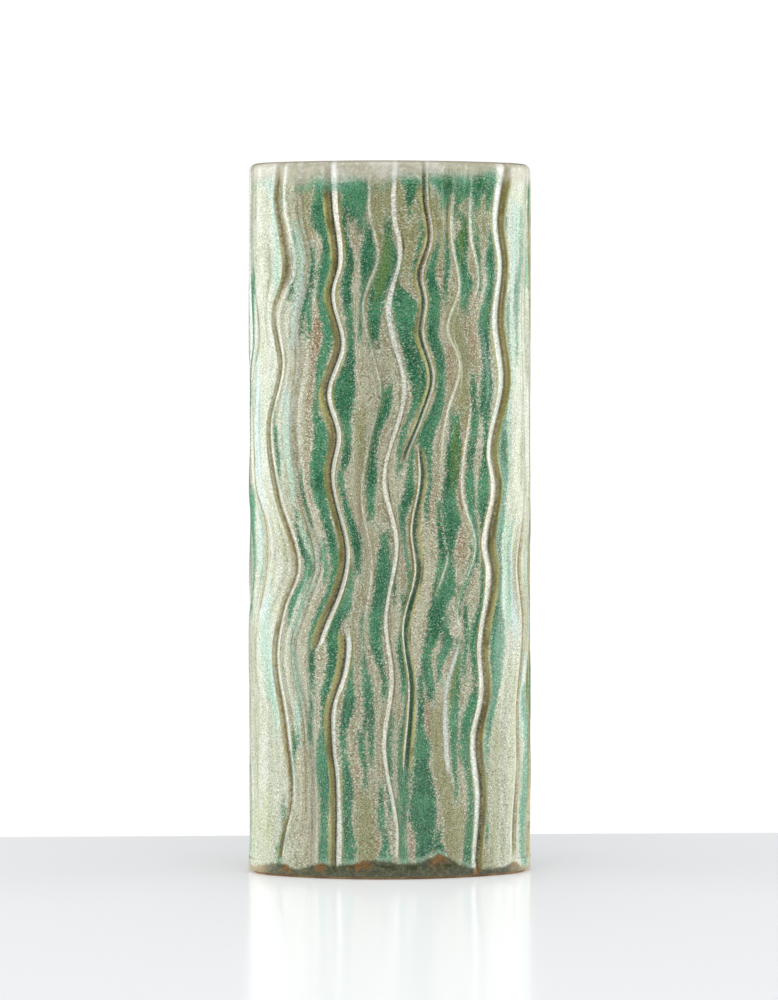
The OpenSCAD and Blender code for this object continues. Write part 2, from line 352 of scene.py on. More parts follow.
# ------------------------ glaze ribbons
# Each ribbon is a few (height, left edge, right edge) rows, in mm, read downwards.
GREEN = [
    [(275, -29.5, -27.6), (255, -32.2, -26), (249, -28, -25.4), (240, -29.5, -23.6),
     (224, -29.7, -26.2), (211, -27.6, -23.6), (200, -30.4, -27), (189, -31, -29.4)],
    [(275, -20.6, -10.4), (267, -20.4, -10), (260, -20, -11)], [(266, -20, -17.4), (257, -19.4, -18)],
    [(264, -15.6, -11.6), (256, -14.2, -12)],
    [(257, -20.6, -19.4), (240, -18.2, -16), (232, -20.2, -16.8), (212, -17.8, -15.6),
     (203, -18.6, -15.6), (188, -24, -15.4), (181, -21.6, -16.8), (174, -19.6, -17),
     (165, -19.6, -17.2), (156, -22, -20), (147, -20, -18.2), (131, -16.2, -12.6), (123, -15, -13)],
    [(119, -17.2, -16.2), (111, -19, -16.6), (105, -23, -17.2), (101, -25.4, -19.4), (96, -27, -21.6),
     (89, -25.8, -21.4), (80, -26.4, -23), (73, -28.2, -25.4), (66, -28.6, -27.6)],
    [(62, -28, -27.2), (54, -30, -26.8), (43, -31, -25.2), (34, -29.4, -25), (24, -28.6, -26),
     (5, -29.6, -25.2)],
    [(82, -17.6, -16.6), (66, -20.4, -15.4), (60, -20.8, -18), (50, -20.4, -18.8), (40, -19.5, -16.8),
     (30, -19.8, -16.2), (22, -19.8, -16.8), (12, -19.8, -15.2), (6, -19.4, -15.6)],
    [(183, -31.6, -30.6), (176, -31.8, -26.8), (168, -31.8, -25.8), (160, -33, -27.2),
     (152, -32.8, -26.8), (144, -29.6, -25.8), (128, -25.2, -21.6), (120, -24, -21.2),
     (113, -26, -23.6), (105, -30, -28), (96, -33, -31.6), (86, -34, -31.6), (77, -33.2, -32)],
    [(140, -39.2, -38.6), (130, -38, -36), (121, -35.2, -31.8), (113, -38.4, -36), (108, -41.8, -39.2),
     (103, -42.6, -41)],
    [(155, -37.8, -37), (137, -34, -33.2)], [(127, -28.8, -26.8), (119, -27.4, -26.4)],
    [(182, -49.8, -49), (163, -47.8, -46.6), (155, -47.4, -46.4)],
    [(242, -33.2, -31.6), (234, -33.6, -32)],
    [(230, -35, -33.8), (224, -36.8, -33.4), (216, -37.8, -36.6)],
    [(227, -34.6, -33.2), (215, -34.2, -33.4)],
    [(273, -46.6, -44.8), (265, -47.2, -44.8), (258, -46.6, -45.4)],
    [(246, -41.4, -40.4), (238, -40.8, -39.4), (231, -42.4, -40.4)],
    [(53, -40.8, -38.6), (47, -41.6, -40), (39, -41, -40.4)],
    [(24, -45, -44), (16, -46, -43.8), (10, -48, -45), (3, -47.6, -46)],
    [(67, -33.6, -32.4), (57, -34, -32.8)],
    [(252, -11, -8.4), (245, -12.4, -7.2), (239, -12.6, -7.8), (234, -12.2, -10), (214, -13.4, -12.6)],
    [(253, -3.4, -1), (240, -5.6, 1), (228, -9.2, -3), (211, -9.6, -6)],
    [(189, -4.6, -1), (182, -6, -1.8), (170, -8.6, -6.4)],
    [(167, -9.4, -7), (159, -10.8, -6.8), (144, -10.2, -8)],
    [(131, -5, -2), (126, -6, -1.2), (113, -7.4, -1.8), (103, -9.2, -4.2), (91, -8.6, -5.2),
     (75, -4, -2.6)],
    [(99, -12.4, -11.6), (84, -12.2, -10.8), (76, -11.8, -9.2), (68, -11.4, -8.8), (61, -11.6, -10.4)],
    [(71, -9.8, -8.2), (62, -9.8, -7.6), (49, -9.4, -8.4)], [(54, -13.6, -11.6), (41, -11.4, -10.4)],
    [(62, -1.2, -0.4), (54, -3, -1.2), (30, -1.8, -0.5)], [(16, -3.6, -2.4), (7, -6, -1.4)],
    [(32, -5.6, -4.4), (23, -5.4, -3.6)], [(27, 1.2, 2.2), (6, 2.6, 5.6)],
    [(67, 4.4, 5.4), (58, 2.6, 4.6), (48, 2, 4), (40, 1.8, 5.4), (26, 3, 5), (17, 2.2, 4.4)],
    [(99, 4.4, 6), (90, 4.2, 6), (72, 6, 7.4), (42, 5, 7.4)],
    [(76, 10, 11.6), (57, 9, 12.2), (52, 8.6, 14.2), (44, 8.4, 13.6), (38, 7.8, 15.4), (25, 6.2, 17),
     (19, 8.4, 16.4), (12, 9, 15), (6, 9, 12.4)],
    [(16, 16.4, 18.6), (9, 15.4, 20.6)],
    [(245, 15.8, 17.2), (236, 13, 16.6), (228, 13.8, 18.4), (211, 13.4, 17.8), (202, 16.6, 20.4),
     (192, 17, 20.2), (184, 15.6, 19.4), (171, 9.6, 15.2), (164, 12.8, 14.8), (155, 13.8, 15),
     (145, 12.6, 13.6)],
    [(168, 6.6, 8), (158, 5.4, 7.2), (151, 4.4, 8), (146, 2.8, 6.4), (140, 2.6, 4.4), (116, 5.8, 7.2),
     (108, 5, 7.8), (102, 3.4, 5.2)],
    [(189, 7.6, 9.2), (172, 2.8, 4.4), (163, 1.8, 2.8)],
    [(177, 23, 26.2), (168, 21.8, 27), (160, 21.2, 26.6), (153, 20.2, 25.2), (146, 19.4, 25),
     (140, 20, 27), (133, 21, 24.8), (118, 22, 23.2)],
    [(142, 17.4, 18.8), (125, 18.2, 20.8), (109, 15.4, 17.2)],
    [(119, 21, 24.2), (112, 17, 24.6), (107, 14.8, 21.6), (95, 13.2, 18.2), (89, 12, 14.8),
     (82, 11, 14.8), (74, 13.2, 16)],
    [(98, 18.6, 21.6), (91, 19.4, 23.8), (86, 17.8, 21), (81, 17.4, 19)],
    [(88, 25.6, 26.8), (78, 23.2, 26.7), (51, 22.6, 25.4), (35, 24.8, 25.6)],
    [(77, 32.8, 33.8), (69, 30.4, 34), (62, 28, 32.4), (54, 27.4, 31.2), (47, 27.6, 31.2),
     (40, 29.8, 31.8), (30, 30.4, 32.4), (5, 28.4, 31.4)],
    [(126, 31.4, 32.6), (118, 29.2, 31.4), (112, 26.6, 28.8), (105, 25.2, 26.4)],
    [(119, 36.4, 37.4), (108, 35.4, 37.6), (99, 32.4, 34.8), (91, 31, 33.6), (77, 32.8, 34)],
    [(103, 28.4, 29.6), (92, 28.6, 30.2), (83, 28, 29)],
    [(189, 47, 48.4), (178, 44.8, 47.4), (168, 43.6, 47.8), (158, 44.6, 48.4), (148, 44.2, 47.2),
     (133, 42.2, 45.6), (124, 43.6, 45.2), (115, 43.8, 45), (107, 42.4, 45), (98, 40.4, 46.6),
     (78, 40.4, 45.2), (69, 40, 43), (60, 38.2, 40.8), (49, 37.4, 39)],
    [(43, 38, 38.8), (17, 37.8, 38.6)],
    [(249, 39.4, 41), (240, 38.2, 42), (233, 39.2, 41.8), (218, 35, 39.6), (200, 36.8, 40),
     (192, 36, 41), (184, 35.2, 40), (176, 37.2, 38.6)],
    [(174, 37.4, 38.6), (147, 34.6, 38.8), (139, 35.6, 37)],
    [(191, 31.6, 33.4), (180, 32.2, 34.4), (160, 30, 32.2), (150, 29.6, 32.8), (126, 33.2, 34.6)],
    [(256, 27.6, 29.6), (249, 25, 30), (243, 25, 29.4), (237, 26.4, 30), (232, 27.2, 32.2),
     (226, 27.4, 30)],
    [(273, 3.8, 10.6), (262, 5.8, 7)], [(276, 10.8, 13.2), (263, 10.9, 12.6)],
    [(274, 14.4, 24), (269, 17.6, 24), (265, 19.4, 22.4)],
    [(273, 24.6, 31.4), (268, 24.8, 31.8), (262, 24.8, 25.8)], [(274, 39.6, 42.8), (266, 38.4, 41.2)],
    [(269, 31.2, 32.6), (259, 31.2, 32.2)], [(249, 33.4, 35), (234, 34.8, 35.6)],
    [(248, 21, 21.8), (239, 20.4, 22.2), (231, 20.2, 21)], [(252, 10.8, 11.8), (239, 8, 9.4)],
    [(239, 1.4, 3.2), (231, -0.2, 2.6), (226, -0.4, 8.2), (221, 0.2, 8.8), (215, 1.2, 7.2),
     (208, 3.2, 7.4), (201, 5, 9.6), (193, 7, 10.6), (185, 8, 9.6)],
    [(214, 7.6, 8.8), (197, 10.6, 12.8), (190, 10.4, 12.6), (183, 9.2, 11)],
    [(263, 46.8, 48), (248, 46.8, 47.8), (237, 47.8, 48.6)], [(223, 47.4, 49), (191, 48.4, 49.4)],
    [(258, 55.4, 56.6), (238, 54, 55.8), (231, 52.6, 54.6), (206, 53, 53.8)],
    [(233, -66, -61), (222, -66, -60.6), (211, -65, -61.5)],
    [(147, -66, -60.8), (138, -66, -60), (130, -63, -60.6)],
    [(79, 60.4, 63), (72, 58.8, 64), (57, 58.8, 60.4)], [(129, 0.6, 1.5), (111, -0.2, 0.8)],
    [(107, 3.4, 5.4), (98, 3, 4.4), (92, 1.6, 4), (75, 3.4, 5)],
    [(275, 31.8, 39.4), (269, 31.8, 38.6), (265, 33, 35.4)],
]
KHAKI = [
    [(272, -8.6, -0.6), (262, -9, -1), (247, -6.6, -3.4), (231, -9.4, -8)],
    [(269, 1.4, 10.4), (256, 2, 11.6), (238, 4, 8.4)],
    [(269, 13.6, 22.8), (256, 15.8, 22.4), (238, 17.8, 19.4)],
    [(269, 24.6, 42), (258, 24.6, 41.4), (248, 30.6, 38), (238, 31.4, 34.6)],
    [(226, 21.4, 27.8), (214, 21.6, 27.6), (204, 25, 29.6), (192, 25.4, 31), (180, 24, 31)],
    [(180, -15, -11), (150, -13, -11)], [(64, 15, 19.6), (48, 15, 20), (24, 20, 29), (8, 20, 28)],
    [(32, -14, -8), (18, -15, -7.6), (7, -14, -6)],
    [(272, -36.6, -31.5), (256, -37, -33), (242, -35, -34)],
    [(60, 41, 44), (30, 40, 44.5), (8, 38, 43)], [(150, 8.6, 9.8), (134, 6, 7.4), (120, 6.6, 8.4)],
]
OLIVE = [
    [(249, -4, -1.2), (238, -5.6, -1.4), (229, -7.6, -3.6)], [(252, 26, 28.6), (242, 26.2, 28.4)],
    [(174, 23.8, 26), (164, 23, 25.8), (154, 22.4, 24.6)], [(212, -3.4, -0.6), (196, -1.2, 1.6)],
    [(86, 25.4, 26.4), (76, 23.4, 25.4), (68, 22.8, 24.2)], [(177, 44.6, 45.6), (164, 43.6, 45)],
]
AQUA = [
    [(274, -54, -49), (262, -51, -48), (230, -49.6, -46)],
    [(253, -41.6, -36), (242, -39.6, -34.6), (225, -39.6, -36)],
    [(214, -66, -59.4), (200, -60, -57.4), (190, -61, -56), (156, -60, -56)],
    [(153, -58, -55), (140, -57.6, -54.6), (128, -58.6, -54.8), (116, -57, -54)],
    [(113, -53, -50.4), (104, -56, -50.6), (96, -57, -51), (88, -57, -50), (78, -54, -47.6),
     (72, -53.4, -47), (66, -50.4, -47), (58, -48.8, -47)],
    [(139, -38.6, -36), (130, -36.4, -31.4), (122, -33.4, -30), (114, -34.8, -31.4), (106, -39, -35),
     (96, -41, -38)],
    [(94, -42, -40), (70, -40, -36), (57, -40, -36.6)], [(262, 50, 54.6), (194, 50, 52)],
    [(188, 47.8, 50), (154, 48, 50.6)], [(138, 46, 51), (112, 45.4, 51.6), (98, 47, 54)],
    [(84, 56, 60.5), (70, 54.6, 59), (56, 55, 60)], [(129, 41.8, 42.8), (104, 44, 44.8)],
    [(232, -41, -38), (210, -42, -38.6)], [(188, -45, -41.4), (165, -44.6, -41), (150, -42, -39)],
    [(276, 11, 42.5), (270, 14, 42)],
]
BROWN = [
    [(259, -35, -31.4), (249, -34, -32.8)],
    [(219, -36, -28.4), (206, -33.4, -28), (196, -33, -31.4), (184, -35, -31)],
    [(259, -14.6, -11), (249, -16, -13)], [(239, 17, 20), (229, 18.4, 20)],
    [(228, 28, 31.4), (218, 28.4, 30)], [(214, 30.6, 33.6), (204, 31.4, 33.4)],
    [(207, 21.4, 24), (194, 21.6, 23.6)], [(185, 24, 30), (174, 25, 29)],
    [(156, 25, 28), (144, 24.8, 27.4)], [(136, 25.4, 28), (127, 26, 29)],
    [(131, 2.6, 4.6), (112, 3.4, 5.4)], [(152, 14, 16), (140, 13.6, 15.4)],
    [(92, -9.8, -8.6), (80, -9.6, -8.6)], [(94, 23, 25), (82, 20.6, 23)],
    [(68, 12, 14.4), (54, 12.8, 14.4)], [(66, 18.6, 20), (50, 18.6, 19.8)],
    [(52, 24.8, 27), (43, 25, 26.6)], [(42, -16, -14), (32, -15.4, -13.6)],
    [(25, 21, 23), (12, 21, 23)], [(25, 28.4, 30), (12, 28, 29.4)], [(19, -8.4, -5.6), (8, -8.6, -5.8)],
    [(20, 6.2, 8.6), (8, 6.4, 8.2)], [(148, -14, -12.4), (136, -14, -12.8)],
    [(162, -36, -33.4), (148, -35, -33)], [(112, -46.6, -43), (98, -45, -41)],
    [(263, -47.4, -44.8), (250, -46.4, -42), (240, -45, -41.2), (230, -45.8, -43), (220, -48.8, -47)],
    [(150, -48, -45.6), (140, -45.4, -42), (130, -42.4, -40)], [(60, -46, -42.4), (44, -45, -43)],
    [(140, 53, 57), (120, 53, 56.4), (100, 54, 58), (84, 55, 58)],
    [(68, 51, 54), (50, 52.6, 55.4), (30, 50.6, 53)],
]


def back_ribbons(per_line, span, gap, width):
    """Ribbons that hug the creases round the back: (flow place, highest, lowest, half width)."""
    made = []
    for rest in BACK_REST:
        for k in range(per_line):
            side = -1 if RANDOM.random() < 0.5 else 1
            top = RANDOM.uniform(30, 290)
            half = RANDOM.uniform(*width)
            place = rest + side * (RANDOM.uniform(*gap) + half)
            made.append((place, top, top - RANDOM.uniform(*span), half))
    return made


BACK_GREEN = back_ribbons(5, (30, 120), (1.2, 3.6), (0.6, 1.9))
BACK_KHAKI = back_ribbons(1, (20, 60), (0.5, 5.0), (1.0, 3.0))
BACK_OLIVE = back_ribbons(1, (15, 40), (0.5, 4.0), (0.6, 1.3))
BACK_AQUA = back_ribbons(1, (20, 60), (1.0, 4.0), (1.0, 2.6))
BACK_BROWN = back_ribbons(2, (10, 36), (1.0, 4.0), (0.7, 1.6))
END_RUN_OUT = 4.0       # a ribbon's end runs out this many times more slowly than its side
END_ROUND = 0.6         # how far a ribbon still counts as filled at its very end


def ribbon_field(front, back, t, s, z, reach):
    """Distance, in mm, into the nearest ribbon, from -reach outside it to reach inside it."""
    field = np.full_like(t, -reach)
    wrapped = wrap_round(s)
    rows = z[:, 0]
    for ribbon in front:
        high, low = ribbon[0][0], ribbon[-1][0]
        near = np.where((rows < high + END_RUN_OUT * reach) & (rows > low - END_RUN_OUT * reach))[0]
        if not len(near):
            continue
        edges = smooth_curve(ribbon, rows[near])
        side = np.minimum(wrapped[near] - edges[:, 0:1], edges[:, 1:2] - wrapped[near])
        ends = np.minimum(high - rows[near], rows[near] - low) / END_RUN_OUT
        field[near] = np.maximum(field[near], np.minimum(side, ends[:, None] + END_ROUND))
    for place, high, low, half in back:
        u = wrap_round(t - place)
        sway_in = 0.5 * np.sin(z / 9.5 + place) + 0.3 * np.sin(z / 4.3 + 2 * place)
        swell = 0.9 + 0.3 * np.sin(z / 7.1 + 3 * place) + 0.15 * np.sin(z / 3.1 + place)
        ends = np.minimum(high - z, z - low) / END_RUN_OUT
        field = np.maximum(field, np.minimum(half * swell - np.abs(u + sway_in), ends + END_ROUND))
    return np.clip(field, -reach, reach)


# Top of the dark foot glaze across the front: (place, height).
FOOT_TOP = [
    (-64, 2.5), (-56, 4), (-50, 5), (-45, 5.5), (-39, 3.4), (-33, 5), (-29, 6.2), (-23, 5.4), (-18, 6),
    (-12, 7.4), (-4, 7.6), (2, 6.6), (9, 6.6), (14, 8.4), (18.5, 9.6), (23, 7.6), (28, 5), (34, 3.8),
    (42, 3.2), (48, 4), (51, 5.4), (56, 3), (64, 2.5)
]
# Rust spots in the foot glaze: (place, half width).
RUST = [
    (-12.5, 4.5), (17.5, 4), (-29, 2.4), (-43.5, 2), (34, 1.8), (51, 2), (-62, 3), (-56, 2), (72, 4),
    (88, 3), (104, 5), (121, 3), (137, 4), (-124, 3), (-106, 5), (-90, 3), (-76, 4)
]


def foot_line(s):
    """Top of the dark foot glaze round the girth."""
    back = (
        5.2
        + 1.3 * np.sin(2 * np.pi * 11 * s / GIRTH + 0.4)
        + 1.0 * np.sin(2 * np.pi * 19 * s / GIRTH + 2.2)
    )
    return back + (smooth_curve(FOOT_TOP, s) - back) * ease(68, 60, np.abs(s))


def channels(t, s, z, cut):
    """Everything that the glaze shader needs at each point, in vectors."""
    _, lip, pool, white_glaze_and_highlight, verdant = cut
    green = ribbon_field(GREEN, BACK_GREEN, t, s, z, 2.0)
    khaki = ribbon_field(KHAKI, BACK_KHAKI, t, s, z, 3.0)
    olive = ribbon_field(OLIVE, BACK_OLIVE, t, s, z, 2.0)
    aqua = ribbon_field(AQUA, BACK_AQUA, t, s, z, 2.0)
    brown = ribbon_field(BROWN, BACK_BROWN, t, s, z, 2.0)
    wrapped = wrap_round(s)
    side = np.abs(wrapped)
    # towards both ends: cream glaze, made paler and bluer as painted sheen from the side lights
    cream_and_side_sheen = ease(35, 49, side) * ease(92, 76, side)
    # painted sheen: the ends, where the side lights wash out the green and the foot glaze
    side_sheen = ease(46, 62, side) * ease(96, 80, side)
    foot = foot_line(wrapped) - z
    rust = np.zeros_like(t)
    for place, wide in RUST:
        rust = np.maximum(rust, np.exp(-(((wrapped - place) / wide) ** 2)))
    haze = 2.2 * ease(8, 14, wrapped) * ease(48, 42, wrapped)
    rim = z - RIM_EDGE - haze - 0.8 * np.sin(s / 5.3) - 0.5 * np.sin(s / 2.9)
    return {
        "streaks": np.stack([green, khaki, aqua], -1),
        "cut": np.stack([lip, pool, white_glaze_and_highlight], -1),
        "zones": np.stack([brown, cream_and_side_sheen, np.clip(rim, -9, 9)], -1),
        "ends": np.stack([np.clip(foot, -4, 4), rust, z / HEIGHT], -1),
        "more": np.stack([olive, side_sheen, verdant], -1),
    }


# ------------------------ meshes
FLOW = np.arange(COLUMNS) * GIRTH / COLUMNS + FRONT_REST["left_end"]


def flow_vector(t, z):
    """Texture place that follows the flow lines and closes without a seam."""
    angle = 2 * np.pi * t / GIRTH
    radius = GIRTH / (2 * np.pi)
    return np.stack([radius * np.cos(angle), radius * np.sin(angle), z], -1)


def place_rows(z_rows, inset_rows, carve_rows):
    """Rings of points, with the relief scaled by carve_rows, and what channels needs to go with them."""
    z = np.repeat(np.asarray(z_rows, float)[:, None], COLUMNS, 1)
    t = np.repeat(FLOW[None, :], len(z_rows), 0)
    s = flow_to_girth(t, np.clip(z, 0, HEIGHT))
    cut = relief(t, s, z)
    mean = np.asarray(inset_rows, float)[:, None]
    inset = np.maximum(mean - np.asarray(carve_rows, float)[:, None] * cut[0], CLEAR)
    x, y, nx, ny = oval(s)
    points = np.stack([x - nx * inset, y - ny * inset, z], -1)
    return points, t, s, z, cut


def build(name, points, flow, data, sharp_rows, material):
    """A closed ring mesh: rows of points go round the section, columns round the girth."""
    rows = points.shape[0]
    mesh = bpy.data.meshes.new(name)
    index = np.arange(rows * COLUMNS).reshape(rows, COLUMNS)
    up = np.roll(index, -1, 0)
    a, b = index, np.roll(index, -1, 1)
    c, d = np.roll(up, -1, 1), up
    faces = np.stack([a, b, c, d], -1).reshape(-1, 4)
    mesh.from_pydata((points * MM).reshape(-1, 3), [], faces.tolist())
    for label, values in {"flow": flow, **data}.items():
        layer = mesh.attributes.new(label, "FLOAT_VECTOR", "POINT")
        layer.data.foreach_set("vector", np.ascontiguousarray(values, np.float32).reshape(-1))
    mesh.polygons.foreach_set("use_smooth", np.ones(len(mesh.polygons), bool))
    verts = np.zeros(len(mesh.edges) * 2, int)
    mesh.edges.foreach_get("vertices", verts)
    ring = (verts // COLUMNS).reshape(-1, 2)
    flags = np.isin(ring[:, 0], sharp_rows) & (ring[:, 0] == ring[:, 1])
    layer = mesh.attributes.new("sharp_edge", "BOOLEAN", "EDGE")
    layer.data.foreach_set("value", flags)
    mesh.materials.append(material)
    mesh.update()
    piece = bpy.data.objects.new(name, mesh)
    bpy.context.scene.collection.objects.link(piece)
    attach(piece, "root")
    return piece


def ring_piece(name, runs, material, glazed=True):
    """A closed ring from runs of (heights, insets, shares of carving); the ends of each run are sharp."""
    z_rows, inset_rows, carve_rows = (np.concatenate(rows) for rows in zip(*runs))
    after = np.cumsum([len(run[0]) for run in runs])
    sharp_rows = [0, len(z_rows) - 1] + [int(row) for end in after[:-1] for row in (end - 1, end)]
    points, t, s, z, cut = place_rows(z_rows, inset_rows, carve_rows)
    data = channels(t, s, z, cut) if glazed else {}
    return build(name, points, flow_vector(t, z), data, sharp_rows, material)


# ------------------------ materials
def srgb(r, g, b):
    """A colour given as 0-255 display values."""
    def one(v):
        v = v / 255
        return v / 12.92 if v <= 0.04045 else ((v + 0.055) / 1.055) ** 2.4
    return (one(r), one(g), one(b), 1.0)


class Nodes:
    """Small helpers for writing one node tree."""

    def __init__(self, name):
        self.material = bpy.data.materials.new(name)
        self.material.use_nodes = True
        self.tree = self.material.node_tree
        self.tree.nodes.clear()
        self.output = self.tree.nodes.new("ShaderNodeOutputMaterial")
        self.shader = self.tree.nodes.new("ShaderNodeBsdfPrincipled")
        self.link(self.shader.outputs[0], self.output.inputs["Surface"])

    def link(self, a, b):
        self.tree.links.new(a, b)

    def put(self, socket, value):
        """Links a socket to a node's output, or sets it to a plain value."""
        if isinstance(value, bpy.types.NodeSocket):
            self.link(value, socket)
        else:
            socket.default_value = value

    def math(self, kind, a, b=0.0, c=0.0, clamp=False):
        node = self.tree.nodes.new("ShaderNodeMath")
        node.operation = kind
        node.use_clamp = clamp
        for socket, value in zip(node.inputs, (a, b, c)):
            self.put(socket, value)
        return node.outputs[0]

    def add(self, total, *values):
        """A sum; a value may come as a (value, factor) pair."""
        for v in values:
            total = self.math("ADD", total, self.mul(*v) if isinstance(v, tuple) else v)
        return total

    def mul(self, a, b):
        return self.math("MULTIPLY", a, b)

    def split(self, label):
        """The three values of one of the mesh's point vectors."""
        attribute = self.tree.nodes.new("ShaderNodeAttribute")
        attribute.attribute_name = label
        parts = self.tree.nodes.new("ShaderNodeSeparateXYZ")
        self.link(attribute.outputs["Vector"], parts.inputs[0])
        return parts.outputs

    def vector(self, label, stretch=(1, 1, 1)):
        attribute = self.tree.nodes.new("ShaderNodeAttribute")
        attribute.attribute_name = label
        return self.stretch(attribute.outputs["Vector"], stretch)

    def position(self, stretch=(1, 1, 1)):
        place = self.tree.nodes.new("ShaderNodeTexCoord")
        return self.stretch(place.outputs["Object"], stretch)

    def stretch(self, vector, by):
        node = self.tree.nodes.new("ShaderNodeVectorMath")
        node.operation = "MULTIPLY"
        self.link(vector, node.inputs[0])
        node.inputs[1].default_value = by
        return node.outputs[0]

    def noise(self, vector, scale, detail=2.0, rough=0.5):
        node = self.tree.nodes.new("ShaderNodeTexNoise")
        self.link(vector, node.inputs["Vector"])
        node.inputs["Scale"].default_value = scale
        node.inputs["Detail"].default_value = detail
        node.inputs["Roughness"].default_value = rough
        return node.outputs[0]

    def centred(self, vector, scale, detail=2.0, rough=0.5):
        """Noise about zero."""
        return self.math("SUBTRACT", self.noise(vector, scale, detail, rough), 0.5)

    def edge(self, value, low, high):
        """A smooth step from 0 at low to 1 at high."""
        node = self.tree.nodes.new("ShaderNodeMapRange")
        node.interpolation_type = "SMOOTHSTEP"
        self.put(node.inputs[0], value)
        node.inputs[1].default_value = low
        node.inputs[2].default_value = high
        return node.outputs[0]

    def mix(self, factor, a, b):
        """Goes from colour a to colour b; a plain colour is given as 0-255 display values."""
        node = self.tree.nodes.new("ShaderNodeMix")
        node.data_type = "RGBA"
        self.put(node.inputs[0], factor)
        for socket, color in ((node.inputs[6], a), (node.inputs[7], b)):
            self.put(socket, srgb(*color) if isinstance(color, tuple) else color)
        return node.outputs[2]

    def over(self, base, color, value, low, high, amount=None):
        """Lays a colour over the base, more and more as value goes from low to high."""
        share = self.edge(value, low, high)
        if amount is not None:
            share = self.mul(share, amount)
        return self.mix(share, base, color)

    def tone(self, color, factor):
        """Multiplies a colour by a grey factor."""
        node = self.tree.nodes.new("ShaderNodeVectorMath")
        node.operation = "SCALE"
        self.put(node.inputs[0], color)
        self.put(node.inputs[3], factor)
        return node.outputs[0]

    def blend(self, factor, a, b):
        """Goes from value a to value b."""
        return self.add(a, self.mul(factor, self.math("SUBTRACT", b, a)))

    def bump(self, height, distance, strength=1.0):
        node = self.tree.nodes.new("ShaderNodeBump")
        self.put(node.inputs["Height"], height)
        node.inputs["Distance"].default_value = distance
        node.inputs["Strength"].default_value = strength
        self.link(node.outputs[0], self.shader.inputs["Normal"])

    def finish(self, color, roughness, **values):
        self.put(self.shader.inputs["Base Color"], color)
        self.put(self.shader.inputs["Roughness"], roughness)
        for label, value in values.items():
            self.shader.inputs[label.replace("_", " ")].default_value = value
        return self.material


